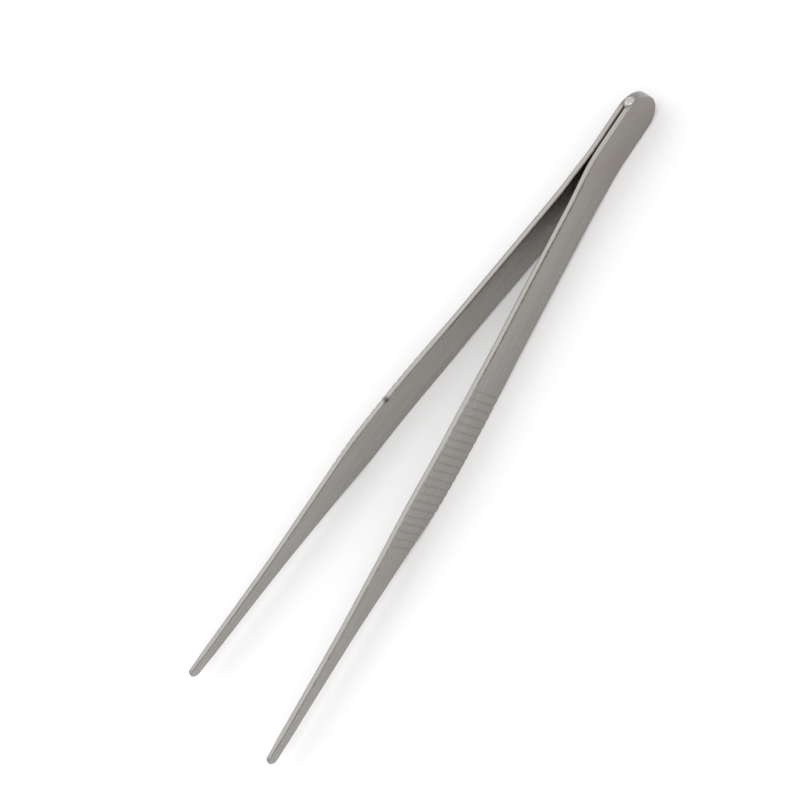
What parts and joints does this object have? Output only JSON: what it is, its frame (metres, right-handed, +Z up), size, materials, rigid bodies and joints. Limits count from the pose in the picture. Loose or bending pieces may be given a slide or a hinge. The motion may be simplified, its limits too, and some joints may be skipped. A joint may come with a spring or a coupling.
{
  "type": "aquascaping tweezers",
  "caption": "Long straight steel tweezers: two sprung strip arms welded at the head, ribbed grips, and slim rounded tips with serrated jaws.",
  "frame": {"origin": "middle of the length and of the opening, on the surface that the widest side edges rest on", "axes": "+X from the welded head to the tips, +Y the way the arms open, +Z up along the width of the strips"},
  "size_m": [0.2701, 0.0514, 0.0169],
  "materials": {
    "arm_steel": "satin, fine grain along the arm",
    "weld_steel": "ground and polished"
  },
  "bodies": {
    "head": {"thumb_arm_root": "arm_steel", "finger_arm_root": "arm_steel", "head_weld": "weld_steel", "spot_weld_front": "weld_steel", "spot_weld_rear": "weld_steel"},
    "thumb_blade": {"thumb_arm": "arm_steel"},
    "finger_blade": {"finger_arm": "arm_steel"}
  },
  "joints": [
    {"name": "thumb_arm_flex", "type": "hinge", "parent": "head", "child": "thumb_blade", "pos_m": [-0.0708, 0.00573, 0.00845], "axis": [0, 0, -1], "range_deg": [0, 6.55], "stiffness_Nm_per_rad": 4},
    {"name": "finger_arm_flex", "type": "hinge", "parent": "head", "child": "finger_blade", "pos_m": [-0.0708, -0.00573, 0.00845], "axis": [0, 0, 1], "range_deg": [0, 6.55], "stiffness_Nm_per_rad": 4}
  ]
}
